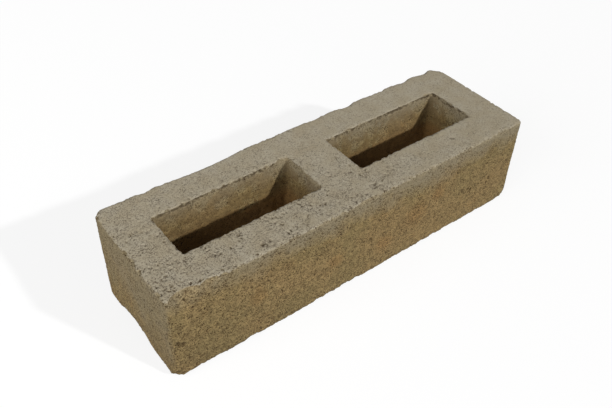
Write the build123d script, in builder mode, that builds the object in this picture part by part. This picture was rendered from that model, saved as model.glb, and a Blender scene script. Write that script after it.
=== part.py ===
from build123d import *
import os
from math import radians, sqrt, tan

# A pressed concrete brick with two cores right through it, made as one piece. Sizes are in millimetres.
# The origin is the middle of the bottom face. X runs along the brick, Y across it and Z up.
# It stands as in the photograph: the struck face, with the wide mouths of the cores, is on top.

# Work size of the whole brick.
length = 290.0
width = 90.0
height = 70.0

# Walls around the cores, measured on the struck face. The cores sit a little towards the back.
end_wall = 27.5
middle_web = 33.5
front_wall = 28.0
back_wall = 25.5

# The cores narrow towards the bottom, so that the fresh brick strips off the core bars.
core_draft = 1.0
core_corner_radius = 2.5
mouth_round = 0.8

# Rounding of the outer edges, which bricklayers call arrises. One upright corner is worn rounder.
upright_corner_radius = 4.0
back_left_corner_radius = 6.0
top_arris_radius = 1.5
bottom_arris_radius = 2.0

# Chips knocked off the arrises: how long each one is along its edge, and how far it goes in.
front_chip_length = 22.0
front_chip_depth = 3.0
front_chip_from_left_end = 13.0
back_chip_length = 64.0
back_chip_depth = 2.2
back_chip_from_left_end = 77.0
back_notch_length = 14.0
back_notch_depth = 2.0
back_notch_from_right_end = 37.0
left_foot_chip_length = 46.0
left_foot_chip_depth = 4.2
left_foot_chip_from_middle = 4.0
left_foot_corner_chip_length = 22.0
left_foot_corner_chip_depth = 3.4
right_foot_corner_chip_length = 24.0
right_foot_corner_chip_depth = 3.8
left_top_corner_chip_length = 16.0
left_top_corner_chip_depth = 2.0
right_top_corner_chip_length = 18.0
right_top_corner_chip_depth = 1.8

# The left core's mouth is flared beside one corner, where the core bar dragged as it came out.
flare_radius = 5.3
flare_reach = 2.0
flare_depth = 14.0

# Sizes that follow from those above.
core_length = (length - 2 * end_wall - middle_web) / 2
core_width = width - front_wall - back_wall
core_x = (middle_web + core_length) / 2
core_y = (front_wall - back_wall) / 2
half_length = length / 2
half_width = width / 2


def chip_ball_radius(chip_length, chip_depth):
    """The radius of the ball whose cap is as long and as deep as the chip."""
    return (chip_length**2 / 4 + chip_depth**2) / (2 * chip_depth)


def cut_chip(edge_point, outward, chip_length, chip_depth):
    """Scoops a chip out of an edge or corner with a ball that stands outside it."""
    radius = chip_ball_radius(chip_length, chip_depth)
    away = Vector(*outward).normalized() * (radius - chip_depth)
    with Locations(Vector(*edge_point) + away):
        Sphere(radius, mode=Mode.SUBTRACT)


def rounding_setback(radius):
    """How far the rounding takes an edge in from its sharp line, along each of its two faces."""
    return radius * (1 - 1 / sqrt(2))


with BuildPart() as brick:
    # The outline of the mould box, filled to its full height.
    with BuildSketch(Plane.XY) as outline:
        Rectangle(length, width)
        for side_x, side_y, radius in (
            (-1, -1, upright_corner_radius),
            (1, -1, upright_corner_radius),
            (1, 1, upright_corner_radius),
            (-1, 1, back_left_corner_radius),
        ):
            towards_corner = Axis((0, 0, 0), (side_x * length, side_y * width, 0))
            fillet(outline.vertices().sort_by(towards_corner)[-1], radius)
    extrude(amount=height)

    # Two core bars pass right through, wider at the struck face than at the bottom.
    with BuildSketch(Plane.XY.offset(height)):
        with Locations((-core_x, core_y), (core_x, core_y)):
            RectangleRounded(core_length, core_width, core_corner_radius)
    extrude(amount=-height, taper=core_draft, mode=Mode.SUBTRACT)

    # The flare is a cone that narrows downwards. It touches the web and reaches past the back wall
    # of the core, and it runs out where that wall has drawn in as far.
    flare_foot_radius = flare_radius - flare_reach - flare_depth * tan(radians(core_draft))
    flare_x = -core_x + core_length / 2 - flare_radius
    flare_y = core_y + core_width / 2 - flare_radius + flare_reach
    with Locations((flare_x, flare_y, height - flare_depth)):
        Cone(
            flare_foot_radius,
            flare_radius,
            flare_depth,
            align=(Align.CENTER, Align.CENTER, Align.MIN),
            mode=Mode.SUBTRACT,
        )

    # The arrises come out of the mould rounded, and the bottom ones are worn further.
    struck_face = brick.faces().filter_by(Plane.XY).sort_by(Axis.Z)[-1]
    mouth_edges = [edge for wire in struck_face.inner_wires() for edge in wire.edges()]
    fillet(mouth_edges, mouth_round)
    struck_face = brick.faces().filter_by(Plane.XY).sort_by(Axis.Z)[-1]
    fillet(struck_face.outer_wire().edges(), top_arris_radius)
    bottom_face = brick.faces().filter_by(Plane.XY).sort_by(Axis.Z)[0]
    fillet(bottom_face.outer_wire().edges(), bottom_arris_radius)

    # A flat chip off the front arris, beside the left corner.
    top_setback = rounding_setback(top_arris_radius)
    cut_chip(
        (-half_length + front_chip_from_left_end, -half_width + top_setback, height - top_setback),
        (0, -1, 1),
        front_chip_length,
        front_chip_depth,
    )

    # A long worn stretch and a short deep notch on the back arris.
    cut_chip(
        (-half_length + back_chip_from_left_end, half_width - top_setback, height - top_setback),
        (0, 1, 1),
        back_chip_length,
        back_chip_depth,
    )
    cut_chip(
        (half_length - back_notch_from_right_end, half_width - top_setback, height - top_setback),
        (0, 1, 1),
        back_notch_length,
        back_notch_depth,
    )

    # A chip off the foot of the left end.
    bottom_setback = rounding_setback(bottom_arris_radius)
    cut_chip(
        (-half_length + bottom_setback, left_foot_chip_from_middle, bottom_setback),
        (-1, 0, -1),
        left_foot_chip_length,
        left_foot_chip_depth,
    )

    # The two front foot corners are knocked off where the brick has been set down.
    corner_setback = rounding_setback(upright_corner_radius)
    for side, chip_length, chip_depth in (
        (-1, left_foot_corner_chip_length, left_foot_corner_chip_depth),
        (1, right_foot_corner_chip_length, right_foot_corner_chip_depth),
    ):
        cut_chip(
            (side * (half_length - corner_setback), -half_width + corner_setback, bottom_setback),
            (side, -1, -1),
            chip_length,
            chip_depth,
        )

    # The two back corners of the struck face are worn off.
    for side, corner_radius, chip_length, chip_depth in (
        (-1, back_left_corner_radius, left_top_corner_chip_length, left_top_corner_chip_depth),
        (1, upright_corner_radius, right_top_corner_chip_length, right_top_corner_chip_depth),
    ):
        back_setback = rounding_setback(corner_radius)
        cut_chip(
            (side * (half_length - back_setback), half_width - back_setback, height - top_setback),
            (side, 1, 1),
            chip_length,
            chip_depth,
        )

brick.part.label = "brick"

os.makedirs("parts", exist_ok=True)
export_step(brick.part, "parts/brick.step")

core_foot_length = core_length - 2 * height * tan(radians(core_draft))
core_foot_width = core_width - 2 * height * tan(radians(core_draft))
print(f"core mouth {core_length:.1f} x {core_width:.1f}, foot {core_foot_length:.1f} x {core_foot_width:.1f}")
print(f"volume {brick.part.volume / 1e6:.4f} litres")
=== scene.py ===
# %% [markdown]
# A pressed concrete brick with two cores
#
# The object is one masonry brick, 290 mm long, 90 mm wide and 70 mm high. Damp sand and cement
# were pressed hard into a steel box round two steel bars, and the brick was pushed out at once.
# That leaves an open, sandy texture, a thin grey skin of cement on the face that was struck off
# level, and arrises (the outer edges) that crumble a little.
#
# The steps are the frame, the camera, the body, its chips, its relief, its surface, and the light.

# %% Load the measured frame
import random
from math import asin, cos, degrees, pi, radians, sin

import bmesh
import bpy
import numpy as np
from mathutils import Matrix, Vector, noise


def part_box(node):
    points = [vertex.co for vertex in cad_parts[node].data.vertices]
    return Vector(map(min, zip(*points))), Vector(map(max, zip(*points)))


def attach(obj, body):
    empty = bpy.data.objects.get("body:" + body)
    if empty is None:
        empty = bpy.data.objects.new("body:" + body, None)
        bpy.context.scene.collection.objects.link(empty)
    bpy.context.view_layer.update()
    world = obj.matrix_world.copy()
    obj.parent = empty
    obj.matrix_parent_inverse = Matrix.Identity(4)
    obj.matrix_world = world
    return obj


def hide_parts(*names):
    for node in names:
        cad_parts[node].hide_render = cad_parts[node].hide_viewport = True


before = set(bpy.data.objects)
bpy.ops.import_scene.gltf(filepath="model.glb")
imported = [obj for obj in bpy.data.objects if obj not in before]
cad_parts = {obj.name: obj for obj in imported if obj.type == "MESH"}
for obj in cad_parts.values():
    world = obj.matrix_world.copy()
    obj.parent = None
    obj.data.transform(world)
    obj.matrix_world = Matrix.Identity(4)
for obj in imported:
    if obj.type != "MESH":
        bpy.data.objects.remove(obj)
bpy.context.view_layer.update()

mm = 0.001
low, high = (Vector(corner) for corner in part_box("brick"))
length, width, height = high - low
print(f"the brick is {length / mm:.0f} x {width / mm:.0f} x {height / mm:.0f} mm")

# %% [markdown]
# The camera
#
# The photograph was taken with the camera held above the left front corner of the brick and
# tipped a little to one side. A camera could be turned by hand until it looks right, but here it
# was worked out from the straight edges of the brick: each edge of known length says something
# about where the camera stood. It is built from the three directions that a camera has: the way
# it looks, the way to its right, and the way up its picture.

# %% Place the camera
camera_place = Vector((-245.6, -291.8, 375.4)) * mm
looking = Vector((0.46118, 0.58406, -0.66798)).normalized()
tipped = radians(1.725)
width_of_view = radians(44.925)

level_right = looking.cross(Vector((0, 0, 1))).normalized()
level_up = level_right.cross(looking)
picture_right = level_right * cos(tipped) + level_up * sin(tipped)
picture_up = picture_right.cross(looking)

bpy.ops.object.camera_add(location=camera_place)
camera = bpy.context.object
camera.name = "camera"
camera.rotation_euler = Matrix((picture_right, picture_up, -looking)).transposed().to_euler()
camera.data.sensor_fit = "HORIZONTAL"
camera.data.angle = width_of_view
camera.data.clip_start = 0.01
bpy.context.scene.camera = camera
print(f"the camera looks down at {degrees(asin(-looking.z)):.0f} degrees")

# %% [markdown]
# The body
#
# The mould is a plain box, so the model starts as a plain box too. The cores are cut as a person
# would do it by hand: the box is sliced along the core walls, and the pieces of the top and bottom
# face over each core are bridged into a tunnel. A boolean with two blocks would do as well, but the
# slices also give the corner edges that are bevelled next.
#
# Blender's bevel treats lengths under a tenth of a millimetre as nothing, so the body is drawn a
# thousand times too large, with one unit for a millimetre, and shrunk when it is whole.

# %% Cut two cores through a box
end_wall = 27.5
middle_web = 33.5
front_wall = 28
back_wall = 25.5
left_core = (low.x / mm + end_wall, -middle_web / 2)
right_core = (middle_web / 2, high.x / mm - end_wall)
core_sides = (low.y / mm + front_wall, high.y / mm - back_wall)
foot, top = low.z / mm, high.z / mm
tiny = 0.01  # places closer together than this are the same


def near(a, b):
    return abs(a - b) < tiny


def pick(obj, kind, wanted):
    """Selects the faces, edges or vertices that the test says yes to, in edit mode."""
    bpy.ops.mesh.select_mode(type=kind)
    bpy.ops.mesh.select_all(action="DESELECT")
    edit = bmesh.from_edit_mesh(obj.data)
    elements = {"VERT": edit.verts, "EDGE": edit.edges, "FACE": edit.faces}[kind]
    chosen = [element for element in elements if wanted(element)]
    for element in chosen:
        element.select_set(True)
    edit.select_flush_mode()
    bmesh.update_edit_mesh(obj.data)
    return len(chosen)


def slice_through(place, direction):
    """Cuts the whole body along a plane."""
    bpy.ops.mesh.select_all(action="SELECT")
    bpy.ops.mesh.bisect(plane_co=place, plane_no=direction)


bpy.ops.object.select_all(action="DESELECT")
bpy.ops.mesh.primitive_cube_add(size=1, location=(low + high) / 2 / mm, scale=(high - low) / mm)
brick = bpy.context.object
brick.name = "concrete_brick"
bpy.ops.object.transform_apply(location=True, rotation=True, scale=True)

bpy.ops.object.mode_set(mode="EDIT")
for wall_x in left_core + right_core:
    slice_through((wall_x, 0, 0), (1, 0, 0))
for wall_y in core_sides:
    slice_through((0, wall_y, 0), (0, 1, 0))

for start, end in (left_core, right_core):
    middle = Vector(((start + end) / 2, sum(core_sides) / 2))
    pick(brick, "FACE", lambda face: (face.calc_center_median().xy - middle).length < tiny)
    bpy.ops.mesh.bridge_edge_loops()
print(f"the body has {len(bmesh.from_edit_mesh(brick.data).faces)} faces")

# %% [markdown]
# The cores narrow towards the bottom, which lets the fresh brick strip off the bars. The slope
# could be put into the cuts, but drawing each foot in a little afterwards gives the same slope and
# keeps the cuts square.

# %% Taper the cores
core_draft = 1.2  # how far each core wall has come in at the foot, in millimetres

for start, end in (left_core, right_core):
    pick(
        brick,
        "VERT",
        lambda vert: near(vert.co.z, foot)
        and start - tiny < vert.co.x < end + tiny
        and core_sides[0] - tiny < vert.co.y < core_sides[1] + tiny,
    )
    shrink_x = 1 - 2 * core_draft / (end - start)
    shrink_y = 1 - 2 * core_draft / (core_sides[1] - core_sides[0])
    middle = ((start + end) / 2, sum(core_sides) / 2, foot)
    bpy.ops.transform.resize(value=(shrink_x, shrink_y, 1), center_override=middle)
print(f"each core wall comes in by {core_draft} mm on its way down")

# %% [markdown]
# Next the corners are rounded: the mould's own corners, the cores' corners, and last the arrises
# and mouths, which need the rounded corners to be there first. One bevel over all the edges would
# be quicker, but each kind of edge has worn to its own radius.

# %% Round the edges
core_corner_radius = 2.5
upright_corner_radius = 4
back_left_corner_radius = 6
top_arris_radius = 1.5
bottom_arris_radius = 2
mouth_radius = 0.8


def upright(edge):
    bottom, upper = sorted(vert.co.z for vert in edge.verts)
    return near(bottom, foot) and near(upper, top)


def outside(place):
    """Beside one of the mould box's own walls, and so not at a core."""
    beside = back_left_corner_radius / 2
    return abs(place.x) > high.x / mm - beside or abs(place.y) > high.y / mm - beside


def on_outer_corner(edge):
    place = edge.verts[0].co
    return upright(edge) and near(abs(place.x), high.x / mm) and near(abs(place.y), high.y / mm)


def on_back_left_corner(edge):
    place = edge.verts[0].co
    return on_outer_corner(edge) and place.x < 0 < place.y


def on_core_corner(edge):
    return upright(edge) and not outside(edge.verts[0].co)


def on_rim(edge, level):
    """An edge where the level face meets an upright wall."""
    flat = [abs(face.normal.z) > 0.9 for face in edge.link_faces]
    return all(near(vert.co.z, level) for vert in edge.verts) and any(flat) and not all(flat)


def round_off(wanted, radius, segments):
    how_many = pick(brick, "EDGE", wanted)
    bpy.ops.mesh.bevel(offset=radius, segments=segments, profile=0.5, affect="EDGES")
    print(f"rounded {how_many} edges to {radius} mm")


round_off(on_back_left_corner, back_left_corner_radius, 6)
round_off(on_outer_corner, upright_corner_radius, 6)
round_off(on_core_corner, core_corner_radius, 6)
round_off(lambda edge: on_rim(edge, top) and not outside(edge.verts[0].co), mouth_radius, 3)
round_off(lambda edge: on_rim(edge, top) and outside(edge.verts[0].co), top_arris_radius, 4)
round_off(lambda edge: on_rim(edge, foot) and outside(edge.verts[0].co), bottom_arris_radius, 4)

bpy.ops.mesh.select_all(action="SELECT")
bpy.ops.transform.resize(value=(mm, mm, mm), center_override=(0, 0, 0))
bpy.ops.object.mode_set(mode="OBJECT")
print(f"the body measures {[round(size / mm, 1) for size in brick.dimensions]} mm")

# %% [markdown]
# Small squares
#
# Everything from here on is wear and texture, which is shaped as in sculpting: the body is first
# remeshed into small even squares, and then its points are moved. Done by code and not by a brush,
# it comes out the same each time.

# %% Divide the body into small squares
def finish_with(obj, kind, **settings):
    """Adds a modifier with its settings and applies it at once."""
    modifier = obj.modifiers.new(kind.lower(), kind)
    for name, value in settings.items():
        setattr(modifier, name, value)
    bpy.context.view_layer.objects.active = obj
    bpy.ops.object.modifier_apply(modifier=modifier.name)


def read_points(obj):
    """The places of all points of a mesh in metres, one row for each."""
    places = np.empty(len(obj.data.vertices) * 3)
    obj.data.vertices.foreach_get("co", places)
    return places.reshape(-1, 3)


def write_points(obj, places):
    """Moves all points of a mesh to these places."""
    obj.data.vertices.foreach_set("co", places.ravel())
    obj.data.update()


square = 0.6 * mm
finish_with(brick, "REMESH", mode="VOXEL", voxel_size=square)
points = read_points(brick) / mm
print(f"{len(points)} points, {square / mm} mm apart")

# %% [markdown]
# Chips
#
# Bricks get knocked. The big chips are where the photograph shows them. Cutting each away with a
# boolean would be slow on so many squares, so each is pressed in with a ball that stands mostly
# outside the brick: a point inside the ball is pushed out to its surface. A ball of the right size
# follows from how long and how deep the chip is.

# %% Press the big chips in
big_chips = [
    # how far along X, Y and Z, the way out of the brick, length and depth, in millimetres
    ((-132, -44.6, 69.6), (0, -1, 1), 22, 3.0),
    ((-116, -44.6, 69.6), (0, -1, 1), 14, 1.7),
    ((0, -44.6, 69.6), (0, -1, 1), 22, 0.9),
    ((-144, 44, 69.6), (-1, 1, 1.4), 16, 2.0),
    ((-110, 44.6, 69.6), (0, 1, 1), 13, 1.1),
    ((-68, 44.6, 69.6), (0, 1, 1), 64, 1.7),
    ((24, 44.6, 69.6), (0, 1, 1), 16, 0.9),
    ((53, 44.6, 69.6), (0, 1, 1), 16, 1.6),
    ((88, 44.6, 69.6), (0, 1, 1), 7, 1.4),
    ((109, 44.6, 69.6), (0, 1, 1), 14, 1.5),
    ((130, 44.6, 69.6), (0, 1, 1), 14, 1.6),
    ((144, 43, 69.6), (1, 1, 1), 22, 3.6),
    ((-144.6, 3, 69.6), (-1, 0, 1), 6, 1.0),
    ((-144.6, -6, 69.6), (-1, 0, 1), 8, 1.2),
    ((-144.6, -15, 69.6), (-1, 0, 1), 5, 0.9),
    ((-144.6, -36, 69.6), (-1, 0, 1), 6, 1.0),
    ((-144.4, 4, 0.6), (-1, 0, -1), 46, 4.2),
    ((-144.4, 14, 0.6), (-1, 0, -1), 20, 3.7),
    ((-144.4, -5, 0.6), (-1, 0, -1), 20, 4.2),
    ((-144, -44, 0.6), (-1, -1, -1), 18, 3.2),
    ((144, -44, 0.6), (1, -1, -1), 24, 3.8),
    ((-128, -44.4, 0.6), (0, -1, -1), 40, 0.9),
    ((-90, -44.4, 0.6), (0, -1, -1), 12, 1.2),
]


def scoop(place, outward, chip_length, chip_depth):
    """Pushes the points that are inside a ball out to its surface, so that its cap is the chip."""
    radius = (chip_length**2 / 4 + chip_depth**2) / (2 * chip_depth)
    middle = np.array(place) + np.array(Vector(outward).normalized()) * (radius - chip_depth)
    away = points - middle
    distance = np.linalg.norm(away, axis=1)
    inside = distance < radius
    points[inside] = middle + away[inside] * (radius / distance[inside])[:, None]


unbroken = points.copy()
for chip in big_chips:
    scoop(*chip)
print(f"pressed {len(big_chips)} big chips in")

# %% [markdown]
# The arrises of the brick and the rims of its cores also crumble when the mould is pulled off and
# when the brick is handled. Such small chips could be drawn by hand one after another, but there
# are too many, so they come at random places with random sizes. Most are small: a random number
# that is raised to a power is mostly near 0. A rim where the bar dragged crumbles more than one
# that it left cleanly.

# %% Crumble the arrises
random.seed(7)
shortest, shallowest = 2.5, 0.3


def crumble(start, end, outward, how_many, longest, deepest):
    """Small chips at random places along one arris."""
    for _ in range(how_many):
        size = random.random() ** 1.5
        place = Vector(start).lerp(Vector(end), random.random())
        chip_length = shortest + size * (longest - shortest)
        scoop(place, outward, chip_length, shallowest + size * (deepest - shallowest))


# where each arris starts and ends, the way out of the brick, how many chips, the longest and deepest
arrises_of_box = [
    ((-140, -44.6, 69.6), (140, -44.6, 69.6), (0, -1, 1), 30, 7, 0.8),
    ((-140, 44.6, 69.6), (140, 44.6, 69.6), (0, 1, 1), 30, 8, 0.9),
    ((-144.6, -40, 69.6), (-144.6, 40, 69.6), (-1, 0, 1), 14, 6, 0.7),
    ((144.6, -40, 69.6), (144.6, 40, 69.6), (1, 0, 1), 3, 5, 0.4),
    ((-140, -44.4, 0.6), (140, -44.4, 0.6), (0, -1, -1), 30, 9, 1.0),
    ((-140, 44.4, 0.6), (140, 44.4, 0.6), (0, 1, -1), 30, 10, 1.1),
    ((144.4, -40, 0.6), (144.4, 40, 0.6), (1, 0, -1), 9, 9, 1.0),
]
front, back = core_sides
rims_of_cores = [
    rim
    for start, end in (left_core, right_core)
    for rim in (
        ((start, front, top), (end, front, top), (0, 1, 1), 40, 4, 1.6),
        ((start, back, top), (end, back, top), (0, -1, 1), 14, 5, 1.4),
        ((end, front, top), (end, back, top), (-1, 0, 1), 6, 5, 1.3),
        ((start, front, top), (start, back, top), (1, 0, 1), 3, 5, 1.0),
    )
]
for arris in arrises_of_box + rims_of_cores:
    crumble(*arris)
broken = np.clip(np.linalg.norm(points - unbroken, axis=1), 0, 1)
print(f"{np.mean(broken > 0.1):.1%} of the points are in a chip")

# %% [markdown]
# Here and there air was trapped, or a clump of grains fell out, and left a pocket in a face. A pocket
# isn't a neat ball, so it is pressed in with a few small balls that overlap. How deep each point went is
# kept, to paint shade into the pockets later.

# %% Press the pockets in
top_pockets = [(-84, -23), (-76, -38), (-71, -38), (87, -29)]  # along X and Y
front_pockets = [  # along X and Z
    (-140, 32), (-137, 29), (-113, 30), (-66, 25), (6, 32),
    (95, 29), (101, 28), (108, 28), (115, 27), (121, 29),
]
top_pocket_depth, front_pocket_depth = 0.8, 1.2

without_pockets = points.copy()
for pocket_x, pocket_y in top_pockets:
    for _ in range(3):
        aside, backwards = random.gauss(0, 1.1), random.gauss(0, 0.7)
        pocket = (pocket_x + aside, pocket_y + backwards, top)
        scoop(pocket, (0, 0, 1), random.uniform(1.6, 2.6), top_pocket_depth)
for pocket_x, pocket_z in front_pockets:
    for _ in range(4):
        aside, above = random.gauss(0, 1.6), random.gauss(0, 0.8)
        pocket = (pocket_x + aside, low.y / mm, pocket_z + above)
        scoop(pocket, (0, -1, 0), random.uniform(1.6, 3), front_pocket_depth)
pocket_depth = np.linalg.norm(points - without_pockets, axis=1)
print(f"pressed {len(top_pockets) + len(front_pockets)} pockets in")

# %% [markdown]
# The left core's mouth is flared beside one corner, where the core bar dragged as it came out. A
# carved groove would do, but what a dragging bar leaves is close to a cone which narrows downwards,
# and the points inside it are pushed out to its wall.

# %% Flare one corner of the left core
flare_radius, flare_reach, flare_depth = 5.3, 2.0, 14
flare_middle = np.array([left_core[1] - flare_radius, core_sides[1] + flare_reach - flare_radius])
depth_in_core = top - points[:, 2]
narrowing = (flare_reach + core_draft * flare_depth / top) / flare_depth
cone_radius = flare_radius - narrowing * depth_in_core
from_axis = points[:, :2] - flare_middle
distance = np.linalg.norm(from_axis, axis=1)
inside = (distance < cone_radius) & (depth_in_core < flare_depth)
points[inside, :2] = flare_middle + from_axis[inside] * (cone_radius[inside] / distance[inside])[:, None]
write_points(brick, points * mm)
x, y, z = points.T
print(f"the flare moved {inside.sum()} points")

# %% [markdown]
# Relief
#
# Up close no face of a pressed brick is flat: the grains stand up, the gaps between them sink in,
# and the arrises are worn unevenly. A displacement texture would do for a flat face, but here each
# kind of relief has its own place on the brick, so each point is pressed in along its normal by a
# depth that is worked out from noise. First come the places: how far each point is from the walls
# and the cores, and from that how fully it belongs to each place, as a number between 0 and 1.

# %% Say where the body is worn, raw and pitted
def rise(value, start, end):
    """0 at start, 1 at end and a smooth slope between."""
    t = np.clip((value - start) / (end - start), 0, 1)
    return t * t * (3 - 2 * t)


def outside_core(start, end):
    """How far each point is from a core, seen from above, in millimetres."""
    aside = np.maximum(0, np.maximum(start - x, x - end))
    across = np.maximum(0, np.maximum(core_sides[0] - y, y - core_sides[1]))
    return np.hypot(aside, across)


depth_from_walls = np.sort([high.x / mm - abs(x), high.y / mm - abs(y), top - z, z - foot], axis=0)
arris = 1 - rise(depth_from_walls[1], 0.8, 3.5)
near_core = np.minimum(outside_core(*left_core), outside_core(*right_core))
in_core = near_core < 0.5
mouth = (1 - rise(near_core, 0.6, 2.5)) * rise(z, top - 3.5, top - 0.5)
struck = rise(z, top - 1.4, top - 0.5) * ~in_core
# the front and the left end are open, and the two faces that are turned away stay a little smoother
long_face = rise(-y, 40, 44) * ~in_core
end_face = rise(-x, 140, 144)
# the struck face is most open left of its middle and near its front, and less the further from there
roughest_x, roughest_y = -70, -32
reach_x, reach_y = 150, 75
from_roughest = np.hypot((x - roughest_x) / reach_x, (y - roughest_y) / reach_y)
rough_top = np.clip(1.3 - 0.9 * from_roughest, 0.08, 1) * struck
# the skin of the struck face stands over nicks at the back of each core, and at its right end, and the
# dark under it is painted shadow
far_wall = rise(y, core_sides[1] - 3, core_sides[1] - 1.5)
far_end = rise(x, right_core[1] - 3, right_core[1] - 1.5)
under_skin = rise(z, top - 4.4, top - 2) * (1 - rise(z, top - 0.9, top - 0.3))
overhung = in_core * np.maximum(far_wall, far_end) * under_skin * (0.7 + 0.3 * (x > 0))
print(f"{np.mean(in_core):.0%} of the points are in the cores")
print(f"{np.mean(struck > 0.5):.0%} of the points are on the struck face")

# %% [markdown]
# The large wear comes first: faces that aren't quite flat, arrises that are worn in stretches,
# and rims of the cores that are ragged. Where a noise is called with a size, its largest features
# have that size in millimetres, and its values lie on both sides of 0.

# %% Press the wear in
def rough_noise(size, octaves=1):
    """Noise around 0 at every point, with its largest features of this size in millimetres."""
    places = points / size
    if octaves == 1:
        return np.array([noise.noise(place) for place in places])
    return np.array([noise.fractal(place, 0.7, 2.0, octaves) for place in places])


def press(depth):
    """Moves every point in along its normal by its own depth in millimetres."""
    normals = np.empty(len(points) * 3)
    brick.data.vertex_normals.foreach_get("vector", normals)
    moved = read_points(brick) - normals.reshape(-1, 3) * depth[:, None] * mm
    write_points(brick, np.clip(moved, low, high))


# how deep each kind of wear goes, in millimetres, where it has its full share
uneven_depth, crumbled_depth, ragged_depth, wavy_depth = 0.2, 1.0, 1.4, 0.5

uneven_share = np.where(in_core, 1.5, 1 - 0.7 * struck)
uneven = uneven_depth * rise(rough_noise(24, 2), -0.5, 0.5) * uneven_share
worn_stretch = 0.15 + 0.85 * rise(rough_noise(22), -0.3, 0.3)
level_arris = np.where(np.minimum(top - z, z - foot) < 4, 1, 0.3)
crumbs = rise(rough_noise(4, 3), 0.0, 0.8)
crumbled = crumbled_depth * arris * level_arris * worn_stretch * crumbs * ~in_core
ragged_rim = ragged_depth * mouth * rise(rough_noise(2.6, 3), 0.0, 0.8)
wavy_core = wavy_depth * in_core * rise(rough_noise(10, 2), -0.4, 0.4)
wear = uneven + crumbled + ragged_rim + wavy_core
press(wear)
print(f"the wear goes {wear.max():.1f} mm deep")

# %% [markdown]
# Then comes what is as small as the grains: pits where the cement doesn't fill the gaps, the grains
# themselves, the nicks under the skin, and rough ground in every chip. Pits are cracks and holes, which
# is why they are worked out from several noises. The depth of the pits is kept with each point, so that
# shade can be painted into them, darker the deeper they are.

# %% Press the grain in
# how deep each kind of grain goes, in millimetres, where it has its full share
pit_depth, sand_depth, nick_depth, lump_depth = 0.8, 0.3, 1.3, 0.7
# nicks are pressed in less deep than they are painted dark, as painted shadow under the skin, and
# pockets get less painted shade, as they lie open to the light
pressed_share_of_nicks = 0.6
painted_shade_share_of_pockets = 0.6

patchy = rise(rough_noise(9, 2), -0.35, 0.35)
scattered = rise(rough_noise(1.5), -0.1, 0.25)
cracks = (1 - rise(abs(rough_noise(2.8, 2)), 0.0, 0.13)) * scattered
holes = rise(-rough_noise(1.6, 2), 0.22, 0.55)
open_face = (0.55 - 0.2 * rise(x, -140, 60)) * long_face + 0.2 * end_face
pitted = rough_top * patchy + open_face * (0.2 + 0.8 * patchy)
pitted = np.clip(pitted + 0.4 * broken + 0.25 * in_core, 0, 1)
pits = pit_depth * pitted * np.maximum(0.8 * cracks * patchy, holes)
grains = rise(-rough_noise(1.3, 2), -0.5, 0.5)
sandy_share = np.where(in_core, 0.6, 0.35 + 0.4 * rough_top + 0.65 * (long_face + 0.5 * end_face))
sandy = sand_depth * grains * sandy_share
ragged = rise(rough_noise(2.8, 3), -0.25, 0.3)
nicks = nick_depth * overhung * (0.5 + 0.5 * patchy) * ragged
lumpy = lump_depth * broken * rise(rough_noise(3, 3), -0.4, 0.5)
press(pits + sandy + lumpy + pressed_share_of_nicks * nicks)
print(f"the pits are up to {pits.max():.1f} mm deep")


def keep_with_points(name, values):
    """Stores a number for each point, which the surface can read."""
    attribute = brick.data.attributes.new(name, "FLOAT", "POINT")
    attribute.data.foreach_set("value", values)


# painted shade: the depth of the pits, pockets and nicks darkens the surface there
keep_with_points("painted_shade_depth", pits + painted_shade_share_of_pockets * pocket_depth + nicks)
keep_with_points("chipped", broken)

# %% [markdown]
# So many squares are only needed while shaping. A lighter mesh could come from larger squares, but
# that would blunt the grain, so the finished mesh is thinned instead: the flat parts lose most of
# their points, and the rough parts few. The thinning may throw a point a little past the brick's
# own box, so all points are held inside it.

# %% Thin the mesh where it is flat
def count_triangles(obj):
    return sum(len(face.vertices) - 2 for face in obj.data.polygons)


most_triangles = 196000
all_triangles = count_triangles(brick)
finish_with(brick, "DECIMATE", ratio=most_triangles / all_triangles)
write_points(brick, np.clip(read_points(brick), low, high))
bpy.ops.object.select_all(action="DESELECT")
brick.select_set(True)
bpy.ops.object.shade_smooth()
print(f"{all_triangles} triangles before thinning, {count_triangles(brick)} after")

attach(brick, "root")
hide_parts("brick")

# %% [markdown]
# The surface: pressed sand-and-cement concrete
#
# The colour comes from the sand, which is khaki with rusty grains, and from grey cement paste,
# which rises to the struck face and runs a little down the sides. The eye also sees each grain and
# the dark gaps between them. The surface is rough everywhere, with hardly any shine.
#
# A photographed texture would have to be stretched over the brick. Here most of it is worked out from
# where a point is on the brick, so it fits from all sides. Painted shade in the pits, pockets and nicks
# follows the relief, through the depth that was kept with each point when it was pressed in.

# %% Helpers for materials
def linear(colour):
    """A colour written as sRGB hex, such as "9A917D", as the linear values that a shader wants."""
    parts = [int(colour[i:i + 2], 16) / 255 for i in (0, 2, 4)]
    return [c / 12.92 if c <= 0.04045 else ((c + 0.055) / 1.055) ** 2.4 for c in parts] + [1]


def add(tree, kind, inputs=None, gives=0, **settings):
    """Adds a node with its settings, links or fills its inputs, and returns one of its outputs."""
    node = tree.nodes.new(kind)
    for name, value in settings.items():
        setattr(node, name, value)
    for name, value in (inputs or {}).items():
        if isinstance(value, bpy.types.NodeSocket):
            tree.links.new(value, node.inputs[name])
        else:
            node.inputs[name].default_value = value
    return node.outputs[gives]


def per(size):
    """The scale of a pattern whose features are this size in millimetres."""
    return 1 / (size * mm)


# The kinds of node that the material needs most, under short names. A range's inputs are 0 for its
# value, 1 and 2 for where that starts and ends, and 3 and 4 for what it gives there. Both run from 0
# to 1 where nothing else is said. A mix of colours takes its share at 0 and its two colours at 6 and
# 7, and gives the mixed colour at 2.
MATH = "ShaderNodeMath"
RANGE = "ShaderNodeMapRange"
NOISE = "ShaderNodeTexNoise"
MIX = "ShaderNodeMix"
mixes_colour = {"data_type": "RGBA", "gives": 2}

# %% [markdown]
# The brick is most open at its left front, and its cores are browner than its faces. Painting such
# places by hand would need a picture, so the surface works them out from how far along, across and
# up the brick a point lies. The surface measures in metres, so millimetres are written times mm.

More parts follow.
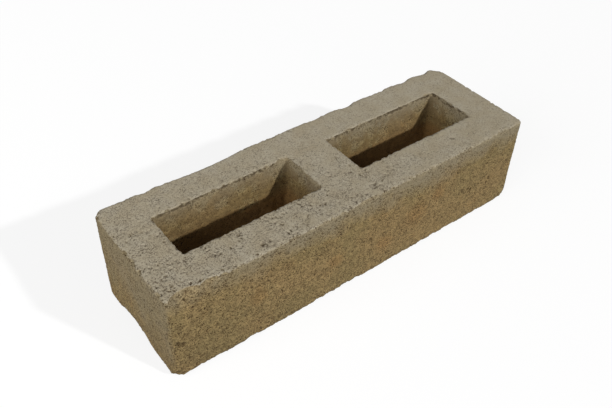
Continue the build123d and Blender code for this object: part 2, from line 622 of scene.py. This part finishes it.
# %% Say where a point is on the brick
concrete = bpy.data.materials.new("pressed_sand_cement_concrete")
concrete.use_nodes = True
tree = concrete.node_tree
shader = tree.nodes["Principled BSDF"]
place = add(tree, "ShaderNodeTexCoord", gives="Object")
along = add(tree, "ShaderNodeSeparateXYZ", {0: place}, gives="X")
across = add(tree, "ShaderNodeSeparateXYZ", {0: place}, gives="Y")
level = add(tree, "ShaderNodeSeparateXYZ", {0: place}, gives="Z")

# 1 at the left front, where the brick is most open, and 0 at the right back; the way to the front
# counts more than the way to the left
weight_of_front = 1.6
towards_front = add(tree, MATH, {0: across, 1: -weight_of_front}, operation="MULTIPLY")
towards_left_front = add(tree, MATH, {0: towards_front, 1: along}, operation="SUBTRACT")
open_corner = add(tree, RANGE, {0: towards_left_front, 1: -130 * mm, 2: 130 * mm})

# 1 inside a core, with a margin for the waviness of its walls
margin = 0.4
core_end = high.x - (end_wall - margin) * mm
core_start = (middle_web / 2 - margin) * mm
core_half_width = ((core_sides[1] - core_sides[0]) / 2 + margin) * mm
from_middle = add(tree, MATH, {0: along}, operation="ABSOLUTE")
before_end = add(tree, MATH, {0: from_middle, 1: core_end}, operation="LESS_THAN")
beyond_web = add(tree, MATH, {0: from_middle, 1: core_start}, operation="GREATER_THAN")
between_ends = add(tree, MATH, {0: before_end, 1: beyond_web}, operation="MULTIPLY")
from_core_line = add(tree, MATH, {0: across, 1: sum(core_sides) / 2 * mm}, operation="SUBTRACT")
from_core_line = add(tree, MATH, {0: from_core_line}, operation="ABSOLUTE")
between_sides = add(tree, MATH, {0: from_core_line, 1: core_half_width}, operation="LESS_THAN")
core_here = add(tree, MATH, {0: between_ends, 1: between_sides}, operation="MULTIPLY")
outside_cores = add(tree, MATH, {0: 1.0, 1: core_here}, operation="SUBTRACT")
print(f"the cores span {core_start / mm:.1f} to {core_end / mm:.1f} mm from the middle")

# %% [markdown]
# Sand from one pit is never one colour. Two khakis lie in large soft patches, with rusty grains
# gathered in small clouds and in a few stains on the front face. A single colour with a little
# noise would look like plastic, so there is also a fine mottle of lighter and darker spots.

# %% Colour the sand
khaki = linear("9E865B")
olive = linear("958258")
rust = linear("9E7240")
most_rust_in_clouds, most_rust_in_stains = 0.18, 0.3
smooth = {"interpolation_type": "SMOOTHSTEP"}

patches = add(tree, NOISE, {"Vector": place, "Scale": per(42), "Detail": 3.0})
khaki_share = add(tree, RANGE, {0: patches, 1: 0.35, 2: 0.65}, **smooth)
sand = add(tree, MIX, {0: khaki_share, 6: olive, 7: khaki}, **mixes_colour)

rust_cloud = add(tree, NOISE, {"Vector": place, "Scale": per(9), "Detail": 4.0, "Roughness": 0.65})
rust_share = add(tree, RANGE, {0: rust_cloud, 1: 0.54, 2: 0.74, 4: most_rust_in_clouds}, **smooth)
# where the rust gathers on the front face, and how far each stain reaches, in millimetres
stains = [(66, 42, 9), (46, 34, 16), (-84, 36, 10), (18, 22, 12), (-24, 30, 9)]
for stain_x, stain_z, reach in stains:
    middle = Vector((stain_x, low.y / mm, stain_z)) * mm
    between = {0: place, 1: middle}
    from_stain = add(tree, "ShaderNodeVectorMath", between, operation="DISTANCE", gives="Value")
    from_stain = add(tree, MATH, {0: from_stain, 1: rust_cloud}, operation="MULTIPLY")
    fades_out = {0: from_stain, 1: 0.5 * reach * mm, 2: 0.1 * reach * mm, 4: most_rust_in_stains}
    stain = add(tree, RANGE, fades_out, **smooth)
    rust_share = add(tree, MATH, {0: rust_share, 1: stain}, operation="MAXIMUM")
rust_share = add(tree, MATH, {0: rust_share, 1: outside_cores}, operation="MULTIPLY")
sand = add(tree, MIX, {0: rust_share, 6: sand, 7: rust}, **mixes_colour)

mottle = add(tree, NOISE, {"Vector": place, "Scale": per(4), "Detail": 4.0, "Roughness": 0.65})
mottle = add(tree, RANGE, {0: mottle, 1: 0.35, 2: 0.65, 3: 0.74, 4: 1.14})
# the foot of the left front corner is a shade darker
towards_left_foot = {0: level, 1: -2.0, 2: towards_left_front}
towards_left_foot = add(tree, MATH, towards_left_foot, operation="MULTIPLY_ADD")
foot_shade = add(tree, RANGE, {0: towards_left_foot, 1: 90 * mm, 2: 190 * mm, 4: 0.13})
mottle = add(tree, MATH, {0: mottle, 1: foot_shade}, operation="SUBTRACT")
mottle = add(tree, "ShaderNodeCombineColor", {0: mottle, 1: mottle, 2: mottle})
sand = add(tree, MIX, {0: 1.0, 6: sand, 7: mottle}, blend_type="MULTIPLY", **mixes_colour)
print(f"sand in two khakis, with {len(stains)} rusty stains")

# %% [markdown]
# When the top was struck off, some cement paste ran down the walls and dried as a grey film. It
# reaches a little less far at the left than at the right, where it also makes a band under the
# arris, and the left end has a film of its own that thins towards the foot. A straight edge would
# look painted, so the height at which the paste stops wanders with noise.

# %% Let paste run down the walls
paste_on_walls = linear("93886F")
run_length = add(tree, NOISE, {"Vector": place, "Scale": per(20), "Detail": 4.0, "Roughness": 0.6})
longest_run = {0: along, 1: -120 * mm, 2: -20 * mm, 3: 24 * mm, 4: 34 * mm}
longest_run = add(tree, RANGE, longest_run)
run_length = add(tree, MATH, {0: run_length, 1: longest_run}, operation="MULTIPLY")
run_level = add(tree, MATH, {0: level, 1: run_length}, operation="ADD")
run_share = add(tree, RANGE, {0: run_level, 1: 67 * mm, 2: 83 * mm, 4: 0.85})

end_film = add(tree, RANGE, {0: along, 1: -144.5 * mm, 2: -142.5 * mm, 3: 0.62, 4: 0.0})
film_patches = add(tree, NOISE, {"Vector": place, "Scale": per(24), "Detail": 3.0})
film_level = add(tree, RANGE, {0: level, 1: 0.0, 2: 60 * mm, 3: -0.25, 4: 0.25})
film_patches = add(tree, MATH, {0: film_patches, 1: film_level}, operation="ADD")
film_patches = add(tree, RANGE, {0: film_patches, 1: 0.25, 2: 0.7})
end_film = add(tree, MATH, {0: end_film, 1: film_patches}, operation="MULTIPLY")

arris_band = add(tree, RANGE, {0: run_level, 1: 76 * mm, 2: 83 * mm, 4: 0.9})
on_right_half = add(tree, RANGE, {0: along, 1: 0.0, 2: 50 * mm})
arris_band = add(tree, MATH, {0: arris_band, 1: on_right_half}, operation="MULTIPLY")

paste_share = add(tree, MATH, {0: run_share, 1: end_film}, operation="MAXIMUM")
paste_share = add(tree, MATH, {0: paste_share, 1: arris_band}, operation="MAXIMUM")
wall = add(tree, MIX, {0: paste_share, 6: sand, 7: paste_on_walls}, **mixes_colour)
print("paste on the walls, the left end and under the right half of the arris")

# %% [markdown]
# The tool that levels the top draws a skin of fine grey paste over it, a little warmer in places.
# A mask by height alone would leave a hard line along the arris, so the level at which the skin
# ends wanders too. Where a chip broke away, the skin went with it.

# %% Draw the skin over the struck face
paste = linear("AAA18D")
warm_paste = linear("A39881")
skin_wander = 2.4 * mm
skin_starts, skin_whole = height - 0.1 * mm, height + 0.8 * mm

tint = add(tree, NOISE, {"Vector": place, "Scale": per(12), "Detail": 3.0})
tint = add(tree, RANGE, {0: tint, 1: 0.35, 2: 0.65})
skin = add(tree, MIX, {0: tint, 6: warm_paste, 7: paste}, **mixes_colour)
skin_edge = add(tree, NOISE, {"Vector": place, "Scale": per(4), "Detail": 3.0})
skin_edge = add(tree, MATH, {0: skin_edge, 1: skin_wander}, operation="MULTIPLY")
skin_level = add(tree, MATH, {0: level, 1: skin_edge}, operation="ADD")
skin_share = add(tree, RANGE, {0: skin_level, 1: skin_starts, 2: skin_whole})
knocked_off = add(tree, "ShaderNodeAttribute", gives="Fac", attribute_name="chipped")
left_over = add(tree, RANGE, {0: knocked_off, 1: 0.15, 2: 0.6, 3: 1.0, 4: 0.0})
skin_share = add(tree, MATH, {0: skin_share, 1: left_over}, operation="MULTIPLY")
surface = add(tree, MIX, {0: skin_share, 6: wall, 7: skin}, **mixes_colour)
print(f"a skin of paste from {skin_starts / mm:.1f} mm up, less up to {skin_wander / mm} mm")

# %% [markdown]
# The core walls are painted browner and darker the deeper they go, which is painted shade, with brown
# blotches at random. Low down, where the key lamp leaves the far walls in shadow, a lighter, warm sand
# is painted in for the light that goes from wall to wall, which is painted bounce light. The slanting
# shadow itself is the lamps' work.

# %% Brown the cores, with painted shade and painted bounce light
core_brown_and_shade = linear("674E2A")
painted_bounce_light_sand = linear("8E6D40")

# painted shade: darker and browner from the mouth down to the bottom of each core
painted_shade_down_the_core = add(tree, RANGE, {0: level, 1: 75 * mm, 2: 20 * mm, 3: 0.15, 4: 0.8})
core_blotches = add(tree, NOISE, {"Vector": place, "Scale": per(5), "Detail": 3.0})
core_blotches = add(tree, RANGE, {0: core_blotches, 1: 0.55, 2: 0.75, 4: 0.3})
brown_and_shade_share = add(tree, MATH, {0: painted_shade_down_the_core, 1: core_blotches}, operation="ADD")
brown_and_shade_share = add(tree, MATH, {0: brown_and_shade_share, 1: core_here}, operation="MULTIPLY")
surface = add(tree, MIX, {0: brown_and_shade_share, 6: surface, 7: core_brown_and_shade}, **mixes_colour)
# painted bounce light: a lighter warm sand low in the cores, where the far walls lie in shadow
painted_bounce_share = add(tree, RANGE, {0: level, 1: 47 * mm, 2: 39 * mm, 4: 0.9})
painted_bounce_share = add(tree, MATH, {0: painted_bounce_share, 1: core_here}, operation="MULTIPLY")
surface = add(tree, MIX, {0: painted_bounce_share, 6: surface, 7: painted_bounce_light_sand}, **mixes_colour)
print("brown in the cores, and painted bounce light low down in them")

# %% [markdown]
# From close by the eye sees single grains, most of them alike and a few much darker, with brown
# gaps between them. They show most on bare sand at the left front, and least under the skin. Each
# cell of a Voronoi pattern stands for a grain, and a fine noise makes the gaps. Real grains are
# mostly under half a millimetre, too fine to show from here, so both patterns are drawn as coarse
# as they need to show.

# %% Add the dark grains
dark_grain = linear("3A260F")
grain_size = 0.75

grain_cells = {"Vector": place, "Scale": per(grain_size)}
grain_cells = add(tree, "ShaderNodeTexVoronoi", grain_cells, gives="Color")
grain_tone = add(tree, "ShaderNodeSeparateColor", {0: grain_cells})
# a power makes most grains about as light as each other, and a few much darker
grain_shade = add(tree, MATH, {0: grain_tone, 1: 4.5}, operation="POWER")

film = add(tree, MATH, {0: paste_share, 1: 0.6}, operation="MULTIPLY")
film = add(tree, MATH, {0: film, 1: skin_share}, operation="MAXIMUM")
bare = add(tree, MATH, {0: 1.0, 1: film}, operation="SUBTRACT")
covered_core = add(tree, MATH, {0: core_here, 1: 0.6}, operation="MULTIPLY")
bare = add(tree, MATH, {0: bare, 1: covered_core}, operation="SUBTRACT", use_clamp=True)

contrast = add(tree, RANGE, {0: open_corner, 3: 0.80, 4: 1.3})
share_of_contrast = add(tree, RANGE, {0: bare, 3: 0.46, 4: 1.0})
contrast = add(tree, MATH, {0: contrast, 1: share_of_contrast}, operation="MULTIPLY")
coarse_patches = add(tree, NOISE, {"Vector": place, "Scale": per(6), "Detail": 3.0})
coarse_patches = add(tree, RANGE, {0: coarse_patches, 1: 0.35, 2: 0.65, 3: 0.6, 4: 1.25})
contrast = {0: contrast, 1: coarse_patches}
contrast = add(tree, MATH, contrast, operation="MULTIPLY", use_clamp=True)
dark_share = add(tree, MATH, {0: grain_shade, 1: contrast}, operation="MULTIPLY")
surface = add(tree, MIX, {0: dark_share, 6: surface, 7: dark_grain}, **mixes_colour)
print(f"grains {grain_size} mm across")

# %% Add the gaps, and the painted shade in the hollows
gap_and_shade_colour = linear("32200D")
gap_size = 0.8

fine = add(tree, NOISE, {"Vector": place, "Scale": per(gap_size), "Detail": 2.0})
fine_gaps = add(tree, RANGE, {0: fine, 1: 0.47, 2: 0.35, 4: 1.0}, **smooth)
fine_reach = add(tree, RANGE, {0: open_corner, 3: 0.18, 4: 0.6})
fine_reach = add(tree, MATH, {0: bare, 1: fine_reach}, operation="MAXIMUM")
fine_reach = {0: fine_reach, 1: coarse_patches}
fine_reach = add(tree, MATH, fine_reach, operation="MULTIPLY", use_clamp=True)
fine_gaps = add(tree, MATH, {0: fine_gaps, 1: fine_reach}, operation="MULTIPLY")
painted_shade_of_hollows = add(tree, "ShaderNodeAttribute", gives="Fac", attribute_name="painted_shade_depth")
# painted shade, darker the deeper a point was pressed in
painted_hollow_shade = add(tree, RANGE, {0: painted_shade_of_hollows, 1: 0.15, 2: 0.7, 4: 0.7})
gap_and_shade_share = add(tree, MATH, {0: fine_gaps, 1: painted_hollow_shade}, operation="MAXIMUM")
surface = add(tree, MIX, {0: gap_and_shade_share, 6: surface, 7: gap_and_shade_colour}, **mixes_colour)
print(f"gaps {gap_size} mm across")

# %% [markdown]
# Sand scatters light, so the surface is rough and barely shines. The finest unevenness is smaller
# than the mesh can hold. It could be pressed in with far more points, but a bump, which only tilts
# the light, is enough for what is half a millimetre deep. It is stronger on bare sand.

# %% Put the surface on the brick
bump_depth = add(tree, RANGE, {0: bare, 3: 0.6, 4: 1.0})
bump_height = add(tree, MATH, {0: fine, 1: bump_depth}, operation="MULTIPLY")
bump = {"Strength": 0.9, "Distance": 0.5 * mm, "Height": bump_height}
relief = add(tree, "ShaderNodeBump", bump, gives="Normal")
tree.links.new(surface, shader.inputs["Base Color"])
tree.links.new(relief, shader.inputs["Normal"])
shader.inputs["Roughness"].default_value = 0.92
shader.inputs["Specular IOR Level"].default_value = 0.25
brick.data.materials.clear()
brick.data.materials.append(concrete)
print(f"the concrete has {len(tree.nodes)} nodes")

# %% [markdown]
# Floor and light
#
# The brick is shown on a plain white floor. One lamp with fairly crisp shadows stands to the right
# of the camera, and it draws the slanting shadow inside each core. A large soft lamp on the left
# fills the end face. The floor gives white to the camera, but little light back to the brick.

# %% Lay the floor
floor_size = 6.0
floor_glow = 0.82
floor_grey = 0.2

bpy.ops.object.select_all(action="DESELECT")
bpy.ops.mesh.primitive_plane_add(size=floor_size, location=(0, 0, low.z))
floor = bpy.context.object
floor.name = "floor"

white_floor = bpy.data.materials.new("white_floor")
white_floor.use_nodes = True
tree = white_floor.node_tree
tree.nodes.clear()


def seen_directly(tree):
    """1 for what the camera sees, straight or by a reflection or through glass."""
    straight = add(tree, "ShaderNodeLightPath", gives="Is Camera Ray")
    mirrored = add(tree, "ShaderNodeLightPath", gives="Is Glossy Ray")
    through_glass = add(tree, "ShaderNodeLightPath", gives="Is Transmission Ray")
    seen = add(tree, MATH, {0: straight, 1: mirrored}, operation="MAXIMUM")
    return add(tree, MATH, {0: seen, 1: through_glass}, operation="MAXIMUM")


glow = add(tree, MATH, {0: seen_directly(tree), 1: floor_glow}, operation="MULTIPLY")
matt = add(tree, "ShaderNodeBsdfDiffuse", {"Color": (floor_grey, floor_grey, floor_grey, 1)})
glowing = add(tree, "ShaderNodeEmission", {"Strength": glow})
both = add(tree, "ShaderNodeAddShader", {0: matt, 1: glowing})
tree.links.new(both, tree.nodes.new("ShaderNodeOutputMaterial").inputs["Surface"])
floor.data.materials.append(white_floor)
print(f"a white floor {floor_size:.0f} m wide")

# %% Light the room
room_light = 0.28
white_light = 1.0

world = bpy.data.worlds.new("studio")
bpy.context.scene.world = world
world.use_nodes = True
tree = world.node_tree
tree.nodes.clear()
lit_room = add(tree, "ShaderNodeBackground", {"Strength": room_light})
white_room = add(tree, "ShaderNodeBackground", {"Strength": white_light})
room = add(tree, "ShaderNodeMixShader", {0: seen_directly(tree), 1: lit_room, 2: white_room})
tree.links.new(room, tree.nodes.new("ShaderNodeOutputWorld").inputs["Surface"])


def lamp(kind, name, from_where, **settings):
    """A lamp that shines from this place, in metres, on the middle of the brick."""
    towards = -Vector(from_where).normalized()
    bpy.ops.object.light_add(
        type=kind, location=Vector(from_where),
        rotation=towards.to_track_quat("-Z", "Y").to_euler(),
    )
    light = bpy.context.object
    light.name = name
    for setting, value in settings.items():
        setattr(light.data, setting, value)
    print(f"{name}: {settings}")


lamp("SUN", "key_lamp", (0.667, -1.457, 1.0), energy=0.75 * pi, angle=radians(2.5))
lamp("AREA", "side_lamp", (-1.35, -0.26, 0.65), energy=15.5, shape="SQUARE", size=1.2)

# %% [markdown]
# Colours
#
# Last, the colours are shown as they are written.

# %% Show the colours as written
bpy.context.scene.view_settings.view_transform = "Standard"
